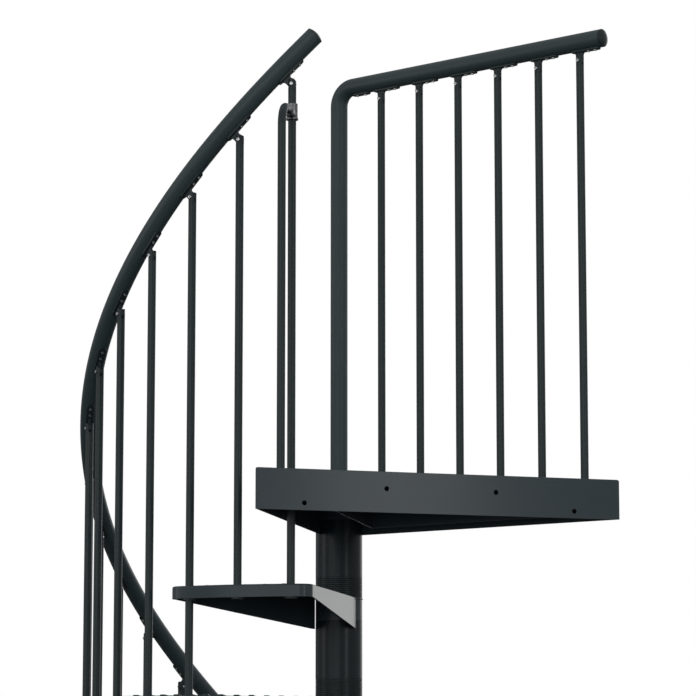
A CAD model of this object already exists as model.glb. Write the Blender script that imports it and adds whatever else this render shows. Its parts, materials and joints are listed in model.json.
# %% [markdown]
# A spiral staircase of powder-coated steel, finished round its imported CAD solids.
# The real stair comes as a kit: folded sheet treads are threaded on a pole with spacer tubes and
# stacks of plastic rings between them, and thin tube balusters tie each tread to the next one.
# The solids already give every size, so each step here adds what a solid leaves out: the round
# folds of the sheet, pressed anti-slip pips, screws, bolts, cast shapes and the finishes.

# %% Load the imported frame
import json
from math import acos, atan, atan2, ceil, cos, degrees, hypot, pi, radians, sin, sqrt, tan
import bmesh
import bpy
from mathutils import Matrix, Vector


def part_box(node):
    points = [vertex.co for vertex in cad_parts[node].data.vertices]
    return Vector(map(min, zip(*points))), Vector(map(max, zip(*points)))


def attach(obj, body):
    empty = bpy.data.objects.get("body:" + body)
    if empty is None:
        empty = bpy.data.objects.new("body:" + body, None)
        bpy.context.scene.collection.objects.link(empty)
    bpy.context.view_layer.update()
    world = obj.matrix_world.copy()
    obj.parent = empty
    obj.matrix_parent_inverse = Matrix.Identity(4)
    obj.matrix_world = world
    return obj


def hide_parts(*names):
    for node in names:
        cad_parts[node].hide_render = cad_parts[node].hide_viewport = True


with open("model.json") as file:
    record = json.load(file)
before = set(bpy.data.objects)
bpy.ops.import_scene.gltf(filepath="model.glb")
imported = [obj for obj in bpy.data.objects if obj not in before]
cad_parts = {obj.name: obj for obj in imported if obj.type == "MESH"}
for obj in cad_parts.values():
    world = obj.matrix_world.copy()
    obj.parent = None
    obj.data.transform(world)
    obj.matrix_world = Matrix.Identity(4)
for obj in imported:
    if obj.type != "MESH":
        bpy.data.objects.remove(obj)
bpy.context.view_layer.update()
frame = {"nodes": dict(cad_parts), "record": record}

# %% [markdown]
# Some of the stair's own sizes are needed again, in metres, because the solids only give boxes.
# Heights are read from the solids. Angles and radii are the ones that the stair is set out with, so
# that each new piece lands where its solid is. Angles run anticlockwise seen from above, and the
# landing's front faces -Y. ARRIVAL and SIDE are the directions of its two baluster lines: the stair
# arrives at one, and the railing stands on the other.

# %% The stair's setting-out
MM = 0.001
CLOSE = 0.01 * MM
TREADS = 11
RISE = 231 * MM
STEP = radians(23.3)
HALF = STEP / 2
ARRIVAL = radians(-120)
SIDE = radians(-60)
TREAD_RADIUS = 600 * MM
CIRCLE = 580.5 * MM
COLUMN_RADIUS = 54 * MM
SHEET = 3 * MM
RAIL_RADIUS = 20 * MM
BALUSTER_RADIUS = 8.75 * MM
STAIR_BALUSTERS = 2 * TREADS + 1
LANDING_BALUSTERS = 6
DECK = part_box("landing_deck")[1].z
TOP_PIVOT = DECK + 844 * MM
LANDING_PIVOT = DECK + 928 * MM
PIVOT_DROP = 42 * MM
CLIMB = RISE / STEP
SLOPE = atan(CLIMB / CIRCLE)
print("deck", round(DECK, 3), "slope of the handrail", round(degrees(SLOPE), 1))

# %% [markdown]
# Every finish is a small tree of nodes. It could be wired in the shader editor, but a script can be
# read and repeated. One function adds a node with its settings and links, and another turns a colour
# written in sRGB hex into the linear numbers that the shaders use. Patterns read Object coordinates,
# in metres, so a real size in millimetres sets each scale and no piece has to be unwrapped.

# %% Helpers for the finishes
NOISE_LOW, NOISE_HIGH = 0.3, 0.7


def linear(code):
    """The linear colour of an sRGB hex code such as 383e42."""
    parts = [int(code[i:i + 2], 16) / 255 for i in (0, 2, 4)]
    return [c / 12.92 if c <= 0.04045 else ((c + 0.055) / 1.055) ** 2.4 for c in parts] + [1]


def add_node(tree, kind, sockets=None, **settings):
    """Adds a node. A socket's value is either a plain value or the output socket to link to it."""
    node = tree.nodes.new(kind)
    for name, value in settings.items():
        setattr(node, name, value)
    for name, value in (sockets or {}).items():
        if isinstance(value, bpy.types.NodeSocket):
            tree.links.new(value, node.inputs[name])
        else:
            node.inputs[name].default_value = value
    return node


def new_finish(name):
    """An empty material and its node tree."""
    material = bpy.data.materials.new(name)
    material.use_nodes = True
    material.node_tree.nodes.clear()
    return material, material.node_tree


def cover(tree, colour, rough, bump, substance):
    """Ends a finish: its colour, roughness and bump go to the shader, and that to the output."""
    shader = add_node(tree, "ShaderNodeBsdfPrincipled",
                      {"Base Color": colour.outputs["Result"], "Roughness": rough.outputs["Result"],
                       "Normal": bump.outputs["Normal"], **substance})
    add_node(tree, "ShaderNodeOutputMaterial", {"Surface": shader.outputs["BSDF"]})


def shaded(code, share):
    """The linear colour of a hex code, made darker or lighter by a share."""
    return [*(Vector(linear(code)[:3]) * share), 1]


print("anthracite in linear numbers", [round(c, 4) for c in linear("383e42")])

# %% [markdown]
# The steel is powder coated in anthracite grey. The powder melts into a satin film with a faint
# orange peel, and a finer grain that breaks up its highlights. The film is a little thicker and
# cooler in places, so the grey drifts slightly over a hand's width. A plain grey would look like
# plastic, so two bumps, a drift of colour and a changing roughness are drawn. The peel and the grain
# are drawn a little coarser than life, because they would be lost at this distance. The tubes come
# from another batch and are a shade darker than the sheets, the column's most of all. The handrails
# have the mattest film, which grips better.

# %% Satin powder coat
DRIFT_SIZE, PEEL_SIZE, GRAIN_SIZE = 90 * MM, 2.5 * MM, 0.7 * MM


def powder_coat(name, light, dark, gloss_from, gloss_to):
    material, tree = new_finish(name)
    place = add_node(tree, "ShaderNodeTexCoord").outputs["Object"]
    drift = add_node(tree, "ShaderNodeTexNoise",
                     {"Vector": place, "Scale": 1 / DRIFT_SIZE, "Detail": 2.0}).outputs["Fac"]
    colour = add_node(tree, "ShaderNodeMix", {"Factor": drift, "A": linear(dark), "B": linear(light)},
                      data_type="RGBA")
    peel = add_node(tree, "ShaderNodeTexNoise",
                    {"Vector": place, "Scale": 1 / PEEL_SIZE, "Detail": 1.0}).outputs["Fac"]
    grain = add_node(tree, "ShaderNodeTexNoise",
                     {"Vector": place, "Scale": 1 / GRAIN_SIZE, "Detail": 2.0}).outputs["Fac"]
    rough = add_node(tree, "ShaderNodeMapRange",
                     {"Value": grain, "From Min": NOISE_LOW, "From Max": NOISE_HIGH,
                      "To Min": gloss_from, "To Max": gloss_to})
    fine = add_node(tree, "ShaderNodeBump",
                    {"Height": grain, "Strength": 0.2, "Distance": 0.04 * MM})
    bump = add_node(tree, "ShaderNodeBump",
                    {"Height": peel, "Strength": 0.25, "Distance": 0.08 * MM,
                     "Normal": fine.outputs["Normal"]})
    cover(tree, colour, rough, bump, {"IOR": 1.4})
    return material


coat = powder_coat("anthracite_powder_coat_satin", "303a3e", "2c3539", 0.13, 0.22)
tube_coat = powder_coat("anthracite_powder_coat_tubes", "232d2f", "1f2829", 0.22, 0.32)
column_coat = powder_coat("anthracite_powder_coat_column", "142124", "111c1f", 0.22, 0.32)
rail_coat = powder_coat("anthracite_powder_coat_handrails", "333f42", "2f393c", 0.3, 0.42)
print("powder coats", [m.name for m in (coat, tube_coat, column_coat, rail_coat)])

# %% [markdown]
# The spacer rings, fork inserts, end caps and the clamp's bush are moulded nylon, dyed black. A
# spark-eroded mould leaves a fine matt grain of about half a millimetre, which spreads the
# highlight. The grain is drawn near to a millimetre so that it shows, and a slow drift stands for
# the way that the plastic flowed in the mould.

# %% Moulded black nylon
def moulded_nylon(name, code):
    material, tree = new_finish(name)
    place = add_node(tree, "ShaderNodeTexCoord").outputs["Object"]
    grain = add_node(tree, "ShaderNodeTexNoise",
                     {"Vector": place, "Scale": 1 / (0.9 * MM), "Detail": 3.0}).outputs["Fac"]
    flow = add_node(tree, "ShaderNodeTexNoise",
                    {"Vector": place, "Scale": 1 / (30 * MM), "Detail": 1.0}).outputs["Fac"]
    colour = add_node(tree, "ShaderNodeMix",
                      {"Factor": flow, "A": shaded(code, 0.85), "B": shaded(code, 1.15)},
                      data_type="RGBA")
    rough = add_node(tree, "ShaderNodeMapRange",
                     {"Value": grain, "From Min": NOISE_LOW, "From Max": NOISE_HIGH,
                      "To Min": 0.26, "To Max": 0.38})
    bump = add_node(tree, "ShaderNodeBump",
                    {"Height": grain, "Strength": 0.4, "Distance": 0.08 * MM})
    cover(tree, colour, rough, bump, {"IOR": 1.45})
    return material


nylon = moulded_nylon("moulded_black_nylon", "172224")
print("nylon", nylon.name)

# %% [markdown]
# Screws and bolts are turned or forged steel with bright zinc plating: a clear metal with fine
# tool marks. The clamp at the end baluster is die-cast zinc, which is duller and slightly pitted.
# One function makes both. The marks change the colour a little and the roughness a lot.

# %% Zinc-plated steel and die-cast zinc
def zinc(name, code, mark_size, low, high, depth):
    material, tree = new_finish(name)
    place = add_node(tree, "ShaderNodeTexCoord").outputs["Object"]
    marks = add_node(tree, "ShaderNodeTexNoise",
                     {"Vector": place, "Scale": 1 / mark_size, "Detail": 4.0}).outputs["Fac"]
    colour = add_node(tree, "ShaderNodeMix",
                      {"Factor": marks, "A": shaded(code, 0.88), "B": shaded(code, 1)},
                      data_type="RGBA")
    rough = add_node(tree, "ShaderNodeMapRange",
                     {"Value": marks, "From Min": NOISE_LOW, "From Max": NOISE_HIGH,
                      "To Min": low, "To Max": high})
    bump = add_node(tree, "ShaderNodeBump", {"Height": marks, "Strength": 0.3, "Distance": depth})
    cover(tree, colour, rough, bump, {"Metallic": 1.0})
    return material


plated = zinc("bright_zinc_plated_steel", "e8eaec", 0.6 * MM, 0.12, 0.26, 0.03 * MM)
cast = zinc("die_cast_zinc", "909294", 1.2 * MM, 0.2, 0.4, 0.08 * MM)
print("zinc", plated.name, cast.name)

# %% [markdown]
# A solid whose shape is already right, such as a baluster, stays and only needs its finish. The
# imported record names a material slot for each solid, so a small table from slot to finish dresses
# all of them, and the column's tubes and the landing's rail then get their own coats.

# %% Finishes of the solids
FINISH_OF_SLOT = {"anthracite_powder_coat": tube_coat, "black_plastic": nylon,
                  "zinc_plated_steel": plated, "cast_zinc": cast}
for row in frame["record"]["subparts"]:
    slots = frame["nodes"][row["node"]].data.materials
    for i in range(len(slots)):
        slots[i] = FINISH_OF_SLOT[row["material_slot"]]
frame["nodes"]["spacer_tubes"].data.materials[0] = column_coat
frame["nodes"]["landing_rail"].data.materials[0] = rail_coat

# %% [markdown]
# New pieces are shaped as by hand, with Blender's own operators. An operator acts on all that is
# selected, so these helpers choose what the next one works on, by place or by normal. A plan outline
# is traced with one point, which is pulled along straight lines and spun round the centres of its
# arcs. A list of points would hide which stretches are round.

# %% Helpers for selecting and adding
FACING = 0.99


def edit(kind):
    """Edit mode with nothing selected."""
    bpy.ops.object.mode_set(mode="EDIT")
    bpy.ops.mesh.select_mode(type=kind)
    bpy.ops.mesh.select_all(action="DESELECT")


def pick(kind, test):
    """Selects the verts, edges or faces that pass a test, and nothing else."""
    edit(kind)
    mesh = bpy.context.object.data
    shape = bmesh.from_edit_mesh(mesh)
    for item in {"VERT": shape.verts, "EDGE": shape.edges, "FACE": shape.faces}[kind]:
        if test(item):
            item.select_set(True)
    shape.select_flush_mode()
    bmesh.update_edit_mesh(mesh)


def ends(edge, test):
    """Do both ends of an edge pass a test of their place?"""
    return all(test(v.co) for v in edge.verts)


def looks_up(face):
    return face.normal.z > FACING


def looks_down(face):
    return face.normal.z < -FACING


def only(*pieces):
    """Object mode with just these pieces selected, and the first one active."""
    if bpy.context.object and bpy.context.object.mode == "EDIT":
        bpy.ops.object.mode_set(mode="OBJECT")
    bpy.ops.object.select_all(action="DESELECT")
    for piece in pieces:
        piece.select_set(True)
    if pieces:
        bpy.context.view_layer.objects.active = pieces[0]


def primitive(kind, name, **sizes):
    """Adds a mesh primitive with nothing else selected."""
    only()
    getattr(bpy.ops.mesh, f"primitive_{kind}_add")(**sizes)
    bpy.context.object.name = name
    return bpy.context.object


print("a face looks up within", round(degrees(acos(FACING))), "degrees")

# %% [markdown]
# The same few steps shape nearly every piece: a point is pulled or swept into an outline, which is
# filled, extruded and turned outwards, and modifiers thicken it and round its edges. Each step gets
# a short name here, so that a piece's own cell reads like a work plan.

# %% Helpers for shaping
def trace_from(name, x, y):
    """A new piece holding one selected point at a place on the ground plan."""
    piece = primitive("plane", name, size=MM)
    edit("VERT")
    bpy.ops.mesh.select_all(action="SELECT")
    bpy.ops.mesh.merge(type="CENTER")
    bpy.ops.transform.translate(value=(x, y, 0))
    return piece


def pull(step):
    """Draws a straight line from the traced point."""
    bpy.ops.mesh.extrude_vertices_move(TRANSFORM_OT_translate={"value": (step[0], step[1], 0)})


def sweep(centre, angle, steps):
    """Spins the traced point anticlockwise. The operator itself turns clockwise."""
    bpy.ops.mesh.spin(steps=steps, angle=-angle, center=(centre[0], centre[1], 0), axis=(0, 0, 1))


def fill():
    """Fills the traced outline with one face."""
    bpy.ops.mesh.select_all(action="SELECT")
    bpy.ops.mesh.edge_face_add()


def extrude(z):
    """Extrudes the selected faces straight up, or down where z is negative."""
    bpy.ops.mesh.extrude_region_move(TRANSFORM_OT_translate={"value": (0, 0, z)})


def extrude_edges(z):
    """Extrudes the selected edges in the same way."""
    bpy.ops.mesh.extrude_edges_move(TRANSFORM_OT_translate={"value": (0, 0, z)})


def face_outwards():
    """Merges points that lie on one another, and turns all faces outwards."""
    bpy.ops.mesh.select_all(action="SELECT")
    bpy.ops.mesh.remove_doubles(threshold=CLOSE)
    bpy.ops.mesh.normals_make_consistent(inside=False)


def use(modifier, **settings):
    """Adds a modifier to the active piece and applies it."""
    bpy.ops.object.mode_set(mode="OBJECT")
    bpy.ops.object.modifier_add(type=modifier)
    added = bpy.context.object.modifiers[-1]
    for name, value in settings.items():
        setattr(added, name, value)
    bpy.ops.object.modifier_apply(modifier=added.name)


def round_edges(width, segments, sharper_than):
    """Bevels every edge of the active piece that is sharper than an angle in degrees."""
    use("BEVEL", width=width, segments=segments, limit_method="ANGLE",
        angle_limit=radians(sharper_than))


print("points within", round(CLOSE / MM, 3), "mm of one another are merged")

# %% [markdown]
# What repeats on the stair is modelled once and copied, each copy with its own mesh. Places are
# written as matrices, so that one line says how a copy is turned and shifted. A finished piece is
# joined into the place that its mesh has on the stair, and then rides on the stair's one body.

# %% Helpers for copies and finished pieces
SMOOTH_BELOW = radians(35)


def turn(angle):
    return Matrix.Rotation(angle, 4, "Z")


def shift(x=0.0, y=0.0, z=0.0):
    return Matrix.Translation((x, y, z))


def join(pieces, name):
    """Joins pieces into the first one, with its place in its mesh."""
    only(*pieces)
    bpy.ops.object.transform_apply(location=True, rotation=True, scale=True)
    if len(pieces) > 1:
        bpy.ops.object.join()
    bpy.context.object.name = name
    return bpy.context.object


def copy_to(piece, matrix):
    """A copy with its own mesh, moved by a matrix."""
    twin = piece.copy()
    twin.data = piece.data.copy()
    bpy.context.collection.objects.link(twin)
    twin.matrix_world = matrix
    return twin


def copies(piece, matrices, name):
    """One piece made of a copy at each place."""
    return join([copy_to(piece, matrix) for matrix in matrices], name)


def drop(*pieces):
    """Removes patterns that have only been copied from."""
    for piece in pieces:
        bpy.data.objects.remove(piece)


def fit(piece, material, slot, *nodes):
    """Finishes a piece: smooth shading, its finish, and its place in the frame."""
    only(piece)
    bpy.ops.object.shade_smooth_by_angle(angle=SMOOTH_BELOW)
    use("WEIGHTED_NORMAL", keep_sharp=True, weight=90)
    piece.data.materials.clear()
    piece.data.materials.append(material)
    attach(piece, "root")
    if nodes:
        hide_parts(*nodes)


print("edges below", round(degrees(SMOOTH_BELOW)), "degrees are shaded smooth")

# %% [markdown]
# A screw or bolt head shows as a small bright or dark dot with a socket in it. It starts as a
# cylinder, its rim is bevelled, and the top is inset and pushed down for the driver's socket. A
# plain disc would catch no light on its rim. A hexagon bolt is a six-sided cylinder on a washer.

# %% Screw heads, bolts and washers
HEAD_RIM, HEAD_LAND, SOCKET_DEPTH = 0.3, 0.7, 0.6
WASHER_WIDE, WASHER_HIGH, WASHER_EDGE, HEX_EDGE = 1.25, 0.24, 0.04, 0.16


def screw_head(name, radius, height, socket):
    """A head that stands on z = 0 and points up."""
    head = primitive("cylinder", name, vertices=24, radius=radius, depth=height,
                     location=(0, 0, height / 2))
    join([head], name)
    pick("EDGE", lambda e: ends(e, lambda p: p.z > height - CLOSE))
    bpy.ops.mesh.bevel(offset=height * HEAD_RIM, segments=2, profile=0.5)
    pick("FACE", looks_up)
    bpy.ops.mesh.inset(thickness=radius * HEAD_LAND - socket)
    extrude(-height * SOCKET_DEPTH)
    bpy.ops.object.mode_set(mode="OBJECT")
    return head


def hex_bolt(name, radius, height):
    """A hexagon head on a washer, standing on z = 0."""
    washer_high = radius * WASHER_HIGH
    washer = primitive("cylinder", name, vertices=32, radius=radius * WASHER_WIDE, depth=washer_high,
                       location=(0, 0, washer_high / 2))
    edit("FACE")
    bpy.ops.mesh.select_all(action="SELECT")
    bpy.ops.mesh.bevel(offset=radius * WASHER_EDGE, segments=1)
    head = primitive("cylinder", name + "_head", vertices=6, radius=radius, depth=height,
                     location=(0, 0, washer_high + height / 2))
    pick("EDGE", lambda e: ends(e, lambda p: p.z > 0))
    bpy.ops.mesh.bevel(offset=height * HEX_EDGE, segments=2)
    return join([washer, head], name)


saddle_screw = screw_head("saddle_screw", radius=3.6 * MM, height=2.4 * MM, socket=1.5 * MM)
print("saddle screw", len(saddle_screw.data.polygons), "faces")

# %% [markdown]
# A tread is one piece of 3 mm sheet. Its outline is a wedge with a round rim and round corners.
# The edges are folded down, deep at the column and shallow at the rim, with a 4 mm outer radius.
# It could be hollowed out of a block, but a sheet that is drawn once and folded, as on a press brake,
# is equally thick everywhere. The outline is traced and filled, its edges are extruded down, the
# sloping lower edge is cut by a bisect, the fold is bevelled, and Solidify thickens it inwards.

# %% One folded sheet
FLANGE_OUT = 46 * MM
CORNER = 30 * MM
RIM = 27 * MM
FLANGE_DEEP = 72 * MM
FLANGE_START = 34.7 * MM
FLANGE_LEVEL = 10 * MM
FOLD = 4 * MM
DEBURR = 0.4 * MM
CORNER_STEPS, RIM_STEPS, FOLD_STEPS = 10, 28, 4


def beside(half, along, out, side):
    """The place at a distance along a baluster line and outside it, on side -1 or +1."""
    return Vector((along * cos(half) - out * sin(half), side * (along * sin(half) + out * cos(half))))


def thicken():
    """Gives a folded sheet its thickness on the inside, and breaks its sharp edges."""
    use("SOLIDIFY", thickness=SHEET, offset=-1, use_even_offset=True)
    round_edges(DEBURR, 1, sharper_than=60)


def folded_tread():
    corner_along = sqrt((TREAD_RADIUS - CORNER) ** 2 - (FLANGE_OUT - CORNER) ** 2)
    back = beside(HALF, FLANGE_START, FLANGE_OUT, -1)
    tangent = beside(HALF, corner_along, FLANGE_OUT, -1)
    centre = beside(HALF, corner_along, FLANGE_OUT - CORNER, -1)
    rim_half = atan2(-centre.y, centre.x)
    corner_turn = pi / 2 + HALF - rim_half
    sheet = trace_from("tread_sheet", back.x, back.y)
    pull(tangent - back)
    sweep(centre, corner_turn, CORNER_STEPS)
    sweep((0, 0), 2 * rim_half, RIM_STEPS)
    sweep((centre.x, -centre.y), corner_turn, CORNER_STEPS)
    pull((back.x - tangent.x, tangent.y - back.y))
    fill()
    pick("EDGE", lambda e: not ends(e, lambda p: p.x < back.x + CLOSE))
    extrude_edges(-RIM)
    pick("EDGE", lambda e: ends(e, lambda p: p.z < CLOSE - RIM and p.x < tangent.x + CLOSE))
    extrude_edges(RIM - FLANGE_DEEP)
    pick("FACE", lambda f: f.calc_center_median().z < -RIM - MM)
    slope = Vector((FLANGE_DEEP - RIM, 0, back.x + FLANGE_LEVEL - tangent.x)).normalized()
    bpy.ops.mesh.bisect(plane_co=(tangent.x, 0, -RIM), plane_no=slope, clear_outer=True)
    face_outwards()
    pick("EDGE", lambda e: ends(e, lambda p: p.z > -CLOSE)
         and not ends(e, lambda p: p.x < back.x + CLOSE))
    bpy.ops.mesh.bevel(offset=FOLD, segments=FOLD_STEPS, profile=0.5)
    thicken()
    return sheet


sheet_piece = folded_tread()
print("tread sheet", len(sheet_piece.data.polygons), "faces")

# %% [markdown]
# Anti-slip pips are pressed up out of the sheet: low flat-topped buttons about 16 mm wide and
# 3.4 mm high. Every second row is shifted by half a step, so that each pip has four neighbours
# 31.5 mm away, on lines at 45 degrees. Bumps in the material could draw them, but they would vanish
# when a tread is seen edge-on, and there they matter most. So one is modelled with few faces and
# then copied. Pips keep clear of the sockets and of the tread's rim.

# %% Pressed pips
PIP_RADIUS = 8 * MM
PIP_HEIGHT = 3.4 * MM
PIP_ROWS = 31.5 * MM / sqrt(2)
PIP_LIFTS = ((0.55, 0.86), (0.3, 0.86), (0.15, 0.8))
SOCKET_CLEAR = 26 * MM
TREAD_PIPS_FROM, TREAD_PIPS_RIM, TREAD_PIPS_OUT = 92 * MM, 42 * MM, 22 * MM


def pip():
    """A flat-topped button whose foot stands just inside the sheet."""
    button = primitive("cylinder", "pip", vertices=14, radius=PIP_RADIUS, depth=MM,
                       location=(0, 0, -MM / 2))
    join([button], "pip")
    pick("FACE", looks_up)
    for lift, share in PIP_LIFTS:
        extrude(lift * PIP_HEIGHT)
        bpy.ops.transform.resize(value=(share, share, 1))
    bpy.ops.object.mode_set(mode="OBJECT")
    return button


def staggered(x_from, x_to, half_width, keep_off):
    """Places in staggered rows across a strip along +X, clear of some sockets."""
    places = []
    for row in range(int((x_to - x_from) / PIP_ROWS) + 1):
        x = x_from + row * PIP_ROWS
        reach = ceil(half_width(x) / (2 * PIP_ROWS)) + 1
        for k in range(-reach, reach + 1):
            y = (2 * k + row % 2) * PIP_ROWS
            clear = all(hypot(x - px, y - py) > SOCKET_CLEAR for px, py in keep_off)
            if abs(y) <= half_width(x) and clear:
                places.append((x, y))
    return places


pip_pattern = pip()
tread_sockets = [(CIRCLE * cos(a), CIRCLE * sin(a)) for a in (-HALF, 0, HALF)]
tread_pips = [place for place in staggered(TREAD_PIPS_FROM, TREAD_RADIUS,
                                           lambda x: x * tan(HALF) + TREAD_PIPS_OUT, tread_sockets)
              if hypot(*place) < TREAD_RADIUS - TREAD_PIPS_RIM]
print("pips on a tread", len(tread_pips))

# %% [markdown]
# At the column the sheet is welded to a hub, a short tube with a disc at each end. Three sockets
# hang under the rim and hold the balusters' feet. A profile spun round its axis would make them
# too, but a cylinder whose rims are bevelled gives the same turned shape in two steps. A weld bead,
# a thin ring, closes the corner between hub and sheet.

# %% Hub and sockets
HUB_HEIGHT = 54 * MM
HUB_BEAD = 1.5 * MM
SOCKET_RADIUS, SOCKET_BELOW, SOCKET_WALL = 14 * MM, 3 * MM, 3.2 * MM


def tube_end(name, radius, bottom, top, edge, sides=64, x=0.0, y=0.0):
    """A turned piece between two heights with both rims bevelled."""
    piece = primitive("cylinder", name, vertices=sides, radius=radius, depth=top - bottom,
                      location=(x, y, (top + bottom) / 2))
    pick("FACE", lambda f: abs(f.normal.z) > FACING)
    bpy.ops.mesh.bevel(offset=edge, segments=2)
    return join([piece], name)


def socket_at(x, y):
    """The socket under a sheet at z = 0, open at its foot with a small lead-in."""
    socket = tube_end("socket", SOCKET_RADIUS, -RIM - SOCKET_BELOW, -SHEET / 2, edge=MM, sides=40,
                      x=x, y=y)
    pick("FACE", looks_down)
    bpy.ops.mesh.inset(thickness=SOCKET_WALL)
    extrude(2 * MM)
    bpy.ops.object.mode_set(mode="OBJECT")
    return socket


def weld_ring(radius, bead, z):
    return primitive("torus", "weld", major_radius=radius, minor_radius=bead, major_segments=64,
                     minor_segments=8, location=(0, 0, z))


def welded_hub():
    hub = tube_end("hub", COLUMN_RADIUS, -HUB_HEIGHT, 0, edge=0.8 * MM, sides=96)
    return join([hub, weld_ring(COLUMN_RADIUS, HUB_BEAD, -SHEET - HUB_BEAD / 3)], "hub")


print("hub", round(HUB_HEIGHT / MM), "mm high, socket", round(2 * SOCKET_RADIUS / MM), "mm wide")

# %% [markdown]
# All treads come off one jig, so sheet, hub, sockets and pips become one pattern. It is copied to
# each tread's solid, and turned one step further from the landing down.

# %% The treads
parts = [sheet_piece, welded_hub()] + [socket_at(x, y) for x, y in tread_sockets]
parts += [copy_to(pip_pattern, shift(x, y)) for x, y in tread_pips]
tread_pattern = join(parts, "tread_pattern")
for k in range(1, TREADS + 1):
    node = f"tread_{k:02d}"
    angle = ARRIVAL - STEP * (TREADS - k) - HALF
    place = turn(angle) @ shift(z=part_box(node)[1].z)
    tread = copies(tread_pattern, [place], node + "_folded_sheet")
    fit(tread, coat, "anthracite_powder_coat", node)
drop(tread_pattern)
print("treads", TREADS, "faces each", len(tread.data.polygons))

# %% [markdown]
# Ten plastic rings lie on the base flange and on every tread's hub. Their edges are rounded, so each
# joint between two rings shows as a fine dark line round the column. Separate rings would hide most
# of their faces, so the section of a whole stack is traced and spun to a full turn.

# %% Spacer rings
RINGS, RING_HIGH, RING_BORE = 10, 4.6 * MM, 39 * MM
GROOVE_DEEP, GROOVE_HALF = 1.6 * MM, 0.9 * MM


def ring_stack():
    wall = COLUMN_RADIUS - GROOVE_DEEP - RING_BORE
    stack = trace_from("ring_stack", RING_BORE, 0)
    pull((wall, 0))
    for _ in range(RINGS):
        pull((GROOVE_DEEP, GROOVE_HALF))
        pull((0, RING_HIGH - 2 * GROOVE_HALF))
        pull((-GROOVE_DEEP, GROOVE_HALF))
    pull((-wall, 0))
    pull((0, -RINGS * RING_HIGH))
    bpy.ops.mesh.select_all(action="SELECT")
    bpy.ops.mesh.spin(steps=72, angle=2 * pi, center=(0, 0, 0), axis=(0, 1, 0))
    face_outwards()
    bpy.ops.object.mode_set(mode="OBJECT")
    stack.rotation_euler = (pi / 2, 0, 0)
    return join([stack], "ring_stack")


stack = ring_stack()
hub_tops = [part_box("base_flange")[1].z] + [RISE * k for k in range(1, TREADS + 1)]
rings = copies(stack, [shift(z=z) for z in hub_tops], "spacer_rings_grooved")
drop(stack)
fit(rings, nylon, "black_plastic", "spacer_rings")
print("rings", RINGS * len(hub_tops), "faces", len(rings.data.polygons))

# %% [markdown]
# The landing's deck is folded from the same sheet, with straight flanges along its two baluster
# lines, and its front edge butts against the apron. It is traced, folded and thickened as a tread
# is, so that both show the same round fold, and it carries the same hub, sockets and pips.

# %% Landing deck
LANDING_HALF = radians(30)
LANDING_OUT = 40.5 * MM
FRONT = -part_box("landing_apron")[0].y
APRON_DEEP = 86 * MM
FIRST_BALUSTER = 128.5 * MM
BALUSTER_PITCH = 113 * MM
DECK_PIPS_FROM, DECK_PIPS_FRONT, DECK_PIPS_OUT = 100 * MM, 22 * MM, 16 * MM


def slants(edge):
    """Does an edge run from front to back?"""
    return abs(edge.verts[0].co.y - edge.verts[1].co.y) > MM


def folded_deck():
    front = FRONT - SHEET
    along = (front + LANDING_OUT * sin(LANDING_HALF)) / cos(LANDING_HALF)
    back = beside(LANDING_HALF, FLANGE_START, LANDING_OUT, 1)
    corner = beside(LANDING_HALF, along, LANDING_OUT, 1)
    sheet = trace_from("deck_sheet", -back.y, -back.x)
    pull((back.y - corner.y, back.x - corner.x))
    pull((2 * corner.y, 0))
    pull((back.y - corner.y, corner.x - back.x))
    fill()
    pick("EDGE", slants)
    extrude_edges(-APRON_DEEP)
    face_outwards()
    pick("EDGE", lambda e: ends(e, lambda p: p.z > -CLOSE) and slants(e))
    bpy.ops.mesh.bevel(offset=FOLD, segments=FOLD_STEPS, profile=0.5)
    thicken()
    return sheet


along_rail = [FIRST_BALUSTER + k * BALUSTER_PITCH for k in range(LANDING_BALUSTERS)]
deck_sockets = [(-r * sin(LANDING_HALF), -r * cos(LANDING_HALF)) for r in along_rail[-2:]]
deck_sockets += [(r * sin(LANDING_HALF), -r * cos(LANDING_HALF)) for r in along_rail]
deck_pips = staggered(DECK_PIPS_FROM, FRONT - DECK_PIPS_FRONT,
                      lambda d: d * tan(LANDING_HALF) + DECK_PIPS_OUT,
                      [(-y, x) for x, y in deck_sockets])
parts = [folded_deck(), welded_hub()] + [socket_at(x, y) for x, y in deck_sockets]
parts += [copy_to(pip_pattern, shift(y, -x)) for x, y in deck_pips]
deck = join(parts, "landing_deck_folded_sheet")
deck.location.z = DECK
fit(join([deck], deck.name), coat, "anthracite_powder_coat", "landing_deck")
drop(pip_pattern)
print("landing deck", len(deck.data.polygons), "faces,", len(deck_pips), "pips")

# %% [markdown]
# The apron is a flat plate across the landing's front, which is bolted to the upper floor. Its ends
# are cut at the deck's slant, its upper corners are clipped and its front edge is rounded. Its four
# bolt holes go right through, which is cleanest as a boolean with cylinders.

# %% Landing apron
APRON_HALF = FRONT * tan(LANDING_HALF) + LANDING_OUT / cos(LANDING_HALF)
APRON_HOLES = ((124 * MM, 36 * MM), (306 * MM, 71 * MM))
HOLE_RADIUS = 5.25 * MM
CLIPPED = 4 * MM
FRONT_EDGE = 1.6 * MM


def bolt_hole(x, below):
    return primitive("cylinder", "hole", vertices=32, radius=HOLE_RADIUS, depth=6 * SHEET,
                     location=(x, -FRONT, DECK - below), rotation=(pi / 2, 0, 0))


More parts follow.
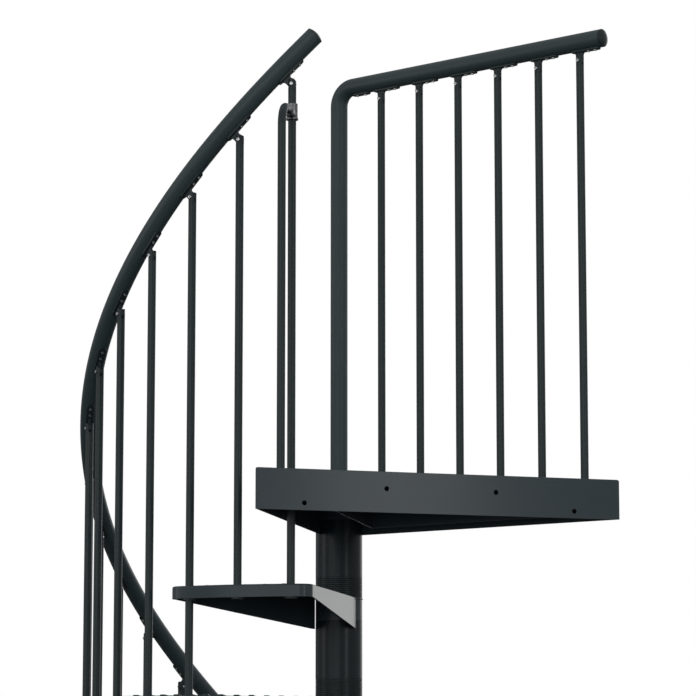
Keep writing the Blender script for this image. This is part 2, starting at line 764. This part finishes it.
cutter = join([bolt_hole(side * out, below) for out, below in APRON_HOLES for side in (-1, 1)],
              "apron_holes")
apron = primitive("cube", "landing_apron_plate", size=1, scale=(2 * APRON_HALF, SHEET, APRON_DEEP),
                  location=(0, -FRONT + SHEET / 2, DECK - APRON_DEEP / 2))
join([apron], apron.name)
for side in (1, -1):
    pick("EDGE", lambda e: ends(e, lambda p: p.x * side > 0 and p.y > -FRONT + MM))
    bpy.ops.transform.translate(value=(-side * SHEET * tan(LANDING_HALF), 0, 0))
pick("EDGE", lambda e: ends(e, lambda p: p.z > DECK - MM) and slants(e))
bpy.ops.mesh.bevel(offset=CLIPPED, segments=2)
pick("EDGE", lambda e: ends(e, lambda p: p.z > DECK - MM and p.y < -FRONT + MM))
bpy.ops.mesh.bevel(offset=FRONT_EDGE, segments=4)
use("BOOLEAN", object=cutter, operation="DIFFERENCE", solver="EXACT")
round_edges(DEBURR, 2, sharper_than=50)
drop(cutter)
fit(apron, coat, "anthracite_powder_coat", "landing_apron")
print("apron", round(2 * APRON_HALF, 3), "m wide")

# %% [markdown]
# Under the deck a V of folded strip carries the load from the column to the apron. It could be two
# thin boxes, but the real one is bent round at its point. So it is traced as two straight lines,
# extruded down, bevelled round where they meet, and made thick by Solidify.

# %% Landing brace
BRACE_BESIDE = 107 * MM
BEND = 5 * MM
TIP = BRACE_BESIDE / sin(LANDING_HALF)
WIDTH = (FRONT - SHEET - TIP) * tan(LANDING_HALF)
brace = trace_from("landing_brace_strip", -WIDTH, -FRONT + SHEET)
pull((WIDTH, FRONT - SHEET - TIP))
pull((WIDTH, TIP - FRONT + SHEET))
bpy.ops.mesh.select_all(action="SELECT")
extrude_edges(SHEET - APRON_DEEP)
pick("EDGE", lambda e: ends(e, lambda p: abs(p.x) < MM))
bpy.ops.mesh.bevel(offset=BEND, segments=4)
pick("FACE", lambda f: f.normal.y < 0)
bpy.ops.mesh.flip_normals()
use("SOLIDIFY", thickness=SHEET, offset=-1, use_even_offset=True)
round_edges(0.5 * MM, 2, sharper_than=60)
brace.location.z = DECK - SHEET
fit(join([brace], brace.name), coat, "anthracite_powder_coat", "landing_brace")
print("brace point", round(TIP, 3), "m from the column's middle")

# %% [markdown]
# The stair handrail is a tube bent to a helix. A circle lifted and turned by the Screw modifier
# would stay upright, and give a flattened tube at this slope. A curve through points of the true
# centreline, with a round bevel, stays round. It is then turned into a mesh and its caps are merged.

# %% Stair handrail
RAIL_LIFT = PIVOT_DROP / cos(SLOPE)
PAST_TOP, PAST_FOOT = 69 * MM, 60 * MM
TURN_TOP = PAST_TOP * cos(SLOPE) / CIRCLE
TURN_LOW = PAST_FOOT * cos(SLOPE) / CIRCLE
RAIL_POINTS = 260


def on_helix(turned):
    """The handrail's centre after turning down from the top baluster."""
    a = ARRIVAL - turned
    return Vector((CIRCLE * cos(a), CIRCLE * sin(a), TOP_PIVOT + RAIL_LIFT - CLIMB * turned))


def swept_tube(name, points, radius):
    """A closed round bar along a line of points."""
    curve = bpy.data.curves.new(name, "CURVE")
    curve.dimensions = "3D"
    curve.bevel_depth = radius
    curve.bevel_resolution = 7
    curve.use_fill_caps = True
    spline = curve.splines.new("POLY")
    spline.points.add(len(points) - 1)
    for point, place in zip(spline.points, points):
        point.co = (*place, 1)
    piece = bpy.data.objects.new(name, curve)
    bpy.context.collection.objects.link(piece)
    only(piece)
    bpy.ops.object.convert(target="MESH")
    edit("VERT")
    face_outwards()
    bpy.ops.object.mode_set(mode="OBJECT")
    return bpy.context.object


whole_turn = HALF * (STAIR_BALUSTERS - 1) + TURN_TOP + TURN_LOW
centreline = [on_helix(whole_turn * i / RAIL_POINTS - TURN_TOP) for i in range(RAIL_POINTS + 1)]
rail = swept_tube("stair_handrail_tube", centreline, RAIL_RADIUS)
fit(rail, rail_coat, "anthracite_powder_coat", "stair_handrail")
print("handrail", round(whole_turn * hypot(CIRCLE, CLIMB), 2), "m along its centre")

# %% [markdown]
# A cast bracket carries the handrail on each baluster. A flat saddle with round ends is screwed to
# the rail from below, and a lug narrows down to a round eye, which sits in the fork on top of the
# baluster. A casting has no straight corners there, so the lug is no box: its outline is traced in
# side view, with two hollow fillets and the round eye, and extruded to its thickness.

# %% Bracket
SADDLE_BACK, SADDLE_FRONT, SADDLE_WIDTH = 20 * MM, 54 * MM, 17 * MM
SEATED, EMBEDDED = 0.6 * MM, 0.5 * MM
SADDLE_TOP = PIVOT_DROP - RAIL_RADIUS + SEATED
SADDLE_THICK = 3.6 * MM
LUG, FLARE = 6 * MM, 8 * MM
FLARE_STEPS, EYE_STEPS = 5, 14


def round_plate(name, start, end):
    """A plate with round ends below a rail along Y."""
    plate = primitive("cube", name, size=1, scale=(SADDLE_WIDTH, end - start, SADDLE_THICK),
                      location=(0, (start + end) / 2, SADDLE_TOP - SADDLE_THICK / 2))
    join([plate], name)
    pick("EDGE", lambda e: abs(e.verts[0].co.z - e.verts[1].co.z) > MM)
    bpy.ops.mesh.bevel(offset=SADDLE_WIDTH / 2 - 0.2 * MM, segments=8)
    pick("FACE", looks_down)
    bpy.ops.mesh.bevel(offset=MM, segments=2)
    return join([plate], name)


def cast_bracket():
    foot = SADDLE_TOP - SADDLE_THICK + EMBEDDED
    eye = BALUSTER_RADIUS
    lug = trace_from("lug", -eye - FLARE, foot)
    sweep((-eye - FLARE, foot - FLARE), -pi / 2, FLARE_STEPS)
    pull((0, FLARE - foot))
    sweep((0, 0), pi, EYE_STEPS)
    pull((0, foot - FLARE))
    sweep((eye + FLARE, foot - FLARE), -pi / 2, FLARE_STEPS)
    fill()
    extrude(LUG)
    face_outwards()
    bpy.ops.transform.translate(value=(0, 0, -LUG / 2))
    round_edges(0.7 * MM, 2, sharper_than=50)
    lug.rotation_euler = (pi / 2, 0, pi / 2)
    return join([lug, round_plate("saddle", -SADDLE_BACK, SADDLE_FRONT)], "bracket")


def stair_place(i):
    """Baluster i of the stair, counted down from the landing, at its pivot screw's height."""
    return turn(ARRIVAL - HALF * i) @ shift(CIRCLE, 0, TOP_PIVOT - CLIMB * HALF * i)


railing_line = turn(SIDE - pi / 2)
railing_top = railing_line @ shift(z=LANDING_PIVOT)
stair_places = [stair_place(i) for i in range(STAIR_BALUSTERS)]
landing_places = [railing_line @ shift(0, r, LANDING_PIVOT) for r in along_rail]
lean = Matrix.Rotation(SLOPE, 4, "X")
leaning_places = [place @ lean for place in stair_places]
bracket = cast_bracket()
stair_brackets = copies(bracket, leaning_places, "stair_brackets_cast")
landing_brackets = copies(bracket, landing_places, "landing_brackets_cast")
drop(bracket)
fit(stair_brackets, tube_coat, "anthracite_powder_coat", "stair_brackets")
fit(landing_brackets, tube_coat, "anthracite_powder_coat", "landing_brackets")
print("brackets", len(stair_places) + len(landing_places))

# %% [markdown]
# Where the landing's rail bends down into its post, a shorter plate like a saddle lies below it. It
# and every saddle are held by two bright screws, whose heads point down. They are pieces of their
# own, because a piece has one finish.

# %% Elbow plate and saddle screws
SADDLE_SCREWS = (23 * MM, 41 * MM)
ELBOW_SCREWS = (57 * MM, 81 * MM)
ELBOW_START, ELBOW_END = 44 * MM, 94 * MM


def screw_row(name, places):
    """Screw heads below a plate, at places along Y."""
    down = Matrix.Rotation(pi, 4, "X")
    return copies(saddle_screw, [shift(0, y, SADDLE_TOP - SADDLE_THICK) @ down for y in places], name)


row = screw_row("bracket_screws", SADDLE_SCREWS)
stair_row = copies(row, leaning_places, "stair_saddle_screws")
elbow_row = screw_row("elbow_screws", ELBOW_SCREWS)
elbow_row.matrix_world = railing_top
landing_row = join([copy_to(row, place) for place in landing_places] + [elbow_row],
                   "landing_saddle_screws")
drop(row, saddle_screw)
fit(stair_row, plated, "zinc_plated_steel")
fit(landing_row, plated, "zinc_plated_steel")
elbow = round_plate("elbow_plate_round", ELBOW_START, ELBOW_END)
elbow.matrix_world = railing_top
fit(join([elbow], elbow.name), tube_coat, "anthracite_powder_coat", "elbow_plate")
print("saddle screws", 2 * (len(stair_places) + len(landing_places) + 1))

# %% [markdown]
# Each pivot screw passes through the fork and the lug. Its pan head has a driver's socket and bears
# on the fork. The solid already has its place, but not the socket, so head and shank are made once
# more and copied. Bright zinc makes these heads the lightest dots on the railing.

# %% Pivot screws
def pivot_screw():
    head = screw_head("pivot_head", radius=4 * MM, height=3 * MM, socket=1.5 * MM)
    head.matrix_world = shift(BALUSTER_RADIUS) @ Matrix.Rotation(pi / 2, 4, "Y")
    shank = tube_end("shank", 2.5 * MM, -BALUSTER_RADIUS, BALUSTER_RADIUS + 0.2 * MM,
                     edge=0.4 * MM, sides=20)
    shank.rotation_euler = (0, pi / 2, 0)
    return join([head, shank], "pivot_screw")


screw = pivot_screw()
stair_screws = copies(screw, stair_places, "stair_pivot_screws_socketed")
landing_screws = copies(screw, landing_places, "landing_pivot_screws_socketed")
drop(screw)
fit(stair_screws, plated, "zinc_plated_steel", "stair_pivot_screws")
fit(landing_screws, plated, "zinc_plated_steel", "landing_pivot_screws")
print("pivot screws", len(stair_places) + len(landing_places))

# %% [markdown]
# The end baluster's arm is held on the top stair baluster by a small die-cast clamp: a collar with
# a lip at its foot, a sleeve round the arm's end, and cheeks behind that a set screw pinches into
# one block. A black bush lies between the sleeve and the collar. Every part is turned, or a block
# with rounded edges, so bevelled cylinders and one bevelled cube are enough.

# %% Clamp of the end baluster
ARM = DECK + 778 * MM
CLAMP_RADIUS, CLAMP_FOOT, CLAMP_TOP = 12 * MM, -13 * MM, 23 * MM
LIP_OUT, LIP_HIGH = 1.5 * MM, 5 * MM
BUSH_RADIUS, SLEEVE_START, BUSH_END, SLEEVE_END = 10.6 * MM, 29 * MM, 30 * MM, 42 * MM
CHEEKS = Vector((9, 11, 22)) * MM
CHEEKS_BACK = 13 * MM
lying = (0, pi / 2, 0)
collar = tube_end("collar", CLAMP_RADIUS, CLAMP_FOOT, CLAMP_TOP, edge=1.2 * MM, sides=40)
lip = tube_end("lip", CLAMP_RADIUS + LIP_OUT, CLAMP_FOOT, CLAMP_FOOT + LIP_HIGH,
               edge=1.4 * MM, sides=40)
sleeve = tube_end("sleeve", CLAMP_RADIUS, SLEEVE_START, SLEEVE_END, edge=1.6 * MM, sides=40)
sleeve.rotation_euler = lying
bush = tube_end("bush", BUSH_RADIUS, 0, BUSH_END, edge=MM, sides=40)
bush.rotation_euler = lying
cheek = primitive("cube", "cheek", size=1, scale=CHEEKS, location=(-CHEEKS_BACK, 0, 0))
edit("EDGE")
bpy.ops.mesh.select_all(action="SELECT")
bpy.ops.mesh.bevel(offset=1.6 * MM, segments=3)
head = screw_head("clamp_screw", radius=3.6 * MM, height=2.6 * MM, socket=1.4 * MM)
head.matrix_world = shift(-CHEEKS_BACK, 0.1 * MM - CHEEKS.y / 2) @ Matrix.Rotation(pi / 2, 4, "X")
clamp = join([collar, lip, sleeve, cheek, head], "end_baluster_clamp_cast")
clamp.matrix_world = turn(ARRIVAL) @ shift(CIRCLE, 0, ARM)
fit(join([clamp], clamp.name), cast, "cast_zinc", "end_baluster_clamp")
bush.matrix_world = turn(ARRIVAL) @ shift(CIRCLE, 0, ARM) @ bush.matrix_world
fit(join([bush], "end_baluster_bush"), nylon, "black_plastic")
print("clamp at", round(ARM, 3), "m")

# %% [markdown]
# The column's foot is a round flange held to the floor by four anchor bolts. It needs no more than a
# disc with bevelled rims, and one hexagon bolt copied round a circle.

# %% Base flange and anchor bolts
BASE_RADIUS, BASE_THICK, ANCHOR_RADIUS = 140 * MM, 8 * MM, 110 * MM
flange = tube_end("base_flange_bolted", BASE_RADIUS, 0, BASE_THICK, edge=MM, sides=128)
bolt = hex_bolt("anchor_bolt", radius=10.4 * MM, height=8 * MM)
turns = [turn(radians(45 + 90 * k)) for k in range(4)]
base_bolts = copies(bolt, [m @ shift(ANCHOR_RADIUS, 0, BASE_THICK) for m in turns], "base_bolts")
drop(bolt)
fit(join([flange], flange.name), tube_coat, "anthracite_powder_coat", "base_flange")
fit(base_bolts, plated, "zinc_plated_steel")
print("anchor bolts", len(turns))

# %% [markdown]
# The lowest baluster has no tread below it, so it stands on a small foot: a disc with a collar, and a
# grub screw in the collar that grips the tube.

# %% Foot of the lowest baluster
FOOT_RADIUS, COLLAR_RADIUS, COLLAR_TOP = 30 * MM, 12 * MM, 24 * MM
GRUB_HEIGHT = 17 * MM
low_angle = ARRIVAL - HALF * (STAIR_BALUSTERS - 1)
foot = tube_end("foot", FOOT_RADIUS, 0, BASE_THICK, edge=MM)
foot_collar = tube_end("foot_collar", COLLAR_RADIUS, BASE_THICK - MM, COLLAR_TOP, edge=MM, sides=40)
grub = screw_head("grub", radius=2.6 * MM, height=1.6 * MM, socket=1.1 * MM)
grub.matrix_world = shift(COLLAR_RADIUS - 0.4 * MM, 0, GRUB_HEIGHT) @ Matrix.Rotation(pi / 2, 4, "Y")
foot = join([foot, foot_collar, grub], "foot_plate_collared")
foot.matrix_world = turn(low_angle) @ shift(CIRCLE)
fit(join([foot], foot.name), tube_coat, "anthracite_powder_coat", "foot_plate")
print("foot at", round(degrees(low_angle) % 360), "degrees")

# %% [markdown]
# On the deck a clamp flange tightens the whole stack and holds the landing's post in a socket. A
# weld bead runs round the socket, and three bolts go down through the flange.

# %% Flange of the landing's post
FLANGE_THICK, POST_SOCKET, POST_SOCKET_TOP, BOLT_CIRCLE = 8 * MM, 25 * MM, 60 * MM, 40 * MM
clamp_flange = tube_end("clamp_flange", COLUMN_RADIUS, 0, FLANGE_THICK, edge=MM, sides=96)
post_socket = tube_end("post_socket", POST_SOCKET, FLANGE_THICK - MM, POST_SOCKET_TOP,
                       edge=1.2 * MM)
bead = weld_ring(POST_SOCKET, 2 * MM, FLANGE_THICK)
post_flange = join([clamp_flange, post_socket, bead], "landing_post_flange_welded")
post_flange.location.z = DECK
fit(join([post_flange], post_flange.name), tube_coat, "anthracite_powder_coat", "landing_post_flange")
bolt = hex_bolt("flange_bolt", radius=7 * MM, height=5 * MM)
turns = [turn(radians(30 + 120 * k)) for k in range(3)]
flange_bolts = copies(bolt, [m @ shift(BOLT_CIRCLE, 0, DECK + FLANGE_THICK) for m in turns],
                      "post_flange_bolts")
drop(bolt)
fit(flange_bolts, plated, "zinc_plated_steel")
print("bolts round the post", len(turns))

# %% [markdown]
# The camera stands in front of the stair, a little below the landing, and looks slightly up at it
# and the upper treads. A long lens from six metres keeps the balusters nearly parallel, which a
# short lens from nearby would not.

# %% Camera
PITCH, HEADING = radians(7.722), radians(-20.149)
camera_data = bpy.data.cameras.new("camera")
camera_data.sensor_width = 36
camera_data.lens = 140.47
camera_data.shift_y = 0.03
camera_data.clip_end = 200
camera = bpy.data.objects.new("camera", camera_data)
bpy.context.collection.objects.link(camera)
camera.location = (-2.147, -5.912, 2.222)
camera.rotation_euler = (pi / 2 + PITCH, 0, HEADING)
bpy.context.scene.camera = camera
print("camera", round(hypot(*camera.location.xy), 2), "m from the column")

# %% [markdown]
# The floor is white to the camera, and keeps the stair's soft shadow. To other rays it is dark, with
# a trace of white in reflections. If it were white to all of them, it would light the undersides of
# the treads and of the deck, which should stay dark.

# %% Studio floor
def mirrored(tree, seen):
    """1 for a ray that comes off a mirror or through glass."""
    return add_node(tree, "ShaderNodeMath",
                    {0: seen["Is Glossy Ray"], 1: seen["Is Transmission Ray"]},
                    operation="MAXIMUM").outputs[0]


floor = primitive("plane", "floor", size=60)
material, tree = new_finish("pale_studio_floor")
seen = add_node(tree, "ShaderNodeLightPath").outputs
pale = add_node(tree, "ShaderNodeMath",
                {0: mirrored(tree, seen), 1: 0.02, 2: seen["Is Camera Ray"]},
                operation="MULTIPLY_ADD", use_clamp=True)
tone = add_node(tree, "ShaderNodeMix",
                {"Factor": pale.outputs[0], "A": linear("3a3a3a"), "B": linear("ffffff")},
                data_type="RGBA")
shader = add_node(tree, "ShaderNodeBsdfDiffuse", {"Color": tone.outputs["Result"]})
add_node(tree, "ShaderNodeOutputMaterial", {"Surface": shader.outputs["BSDF"]})
floor.data.materials.append(material)
print("floor", [round(c) for c in floor.dimensions.xy], "m")

# %% [markdown]
# The room round the stair is white to the camera, and its soft light is even. In reflections it is
# a dim grey, nearly black behind the stair, with two white walls, at the back right and at the near
# left. The satin steel mirrors them: a flange or a screw that faces a white wall turns bright, and
# the rest stays dark. Boards could stand round the stair for this, but a world that depends on
# direction needs no objects.

# %% White surround
world = bpy.data.worlds.new("studio")
bpy.context.scene.world = world
world.use_nodes = True
tree = world.node_tree
tree.nodes.clear()
seen = add_node(tree, "ShaderNodeLightPath").outputs
around = add_node(tree, "ShaderNodeTexCoord").outputs["Generated"]


def within(direction, outer, inner, low=0, high=1):
    """A value that goes from low to high between two angles from a direction in the room."""
    toward = add_node(tree, "ShaderNodeVectorMath", {0: around, 1: direction}, operation="DOT_PRODUCT")
    share = add_node(tree, "ShaderNodeMapRange",
                     {"Value": toward.outputs["Value"], "From Min": cos(radians(outer)),
                      "From Max": cos(radians(inner)), "To Min": low, "To Max": high},
                     interpolation_type="SMOOTHSTEP")
    return share.outputs["Result"]


dim_wall = within(Vector((0.35, 0.94, 0)), outer=40, inner=15, low=0.32, high=0.03)
white_wall = within(Vector((0.7, 0.7, 0.14)), outer=24, inner=18)
near_wall = within(Vector((-0.7, -0.7, 0)), outer=34, inner=22)
far_side = add_node(tree, "ShaderNodeMix", {"Factor": white_wall, "A": dim_wall, "B": 1.0})
backdrop = add_node(tree, "ShaderNodeMix",
                    {"Factor": near_wall, "A": far_side.outputs["Result"], "B": 0.9})
room = add_node(tree, "ShaderNodeMix",
                {"Factor": mirrored(tree, seen), "A": 0.9, "B": backdrop.outputs["Result"]})
strength = add_node(tree, "ShaderNodeMix",
                    {"Factor": seen["Is Camera Ray"], "A": room.outputs["Result"], "B": 1.0})
back = add_node(tree, "ShaderNodeBackground",
                {"Color": (1, 1, 1, 1), "Strength": strength.outputs["Result"]})
add_node(tree, "ShaderNodeOutputWorld", {"Surface": back.outputs["Background"]})
bpy.context.scene.view_settings.view_transform = "Standard"
print("world nodes", len(tree.nodes))

# %% [markdown]
# Three soft lamps shape the stair. A thin tall strip at the right front draws a narrow highlight
# down every tube, a large one at the left lights the outer sides, and a wide one beside the camera
# fills the fronts. That one is hidden from reflections, so that it leaves no second highlight.

# %% Lamps
def soft_light(name, place, target, size, power):
    data = bpy.data.lights.new(name, "AREA")
    data.shape = "RECTANGLE"
    data.size, data.size_y = size
    data.energy = power
    lamp = bpy.data.objects.new(name, data)
    bpy.context.collection.objects.link(lamp)
    lamp.location = place
    lamp.rotation_euler = (Vector(target) - Vector(place)).to_track_quat("-Z", "Y").to_euler()
    print(name, power, "W")
    return lamp


soft_light("strip_light", (1.5, -4.8, 3.2), (0, -0.5, 2.9), size=(0.6, 4.0), power=14)
soft_light("left_light", (-6.0, 1.0, 3.2), (0, 0, 2.8), size=(2.0, 4.0), power=19)
fill_light = soft_light("fill_light", (-2.6, -6.0, 2.6), (0, 0, 3.0), size=(3.0, 1.5), power=100)
fill_light.visible_glossy = False
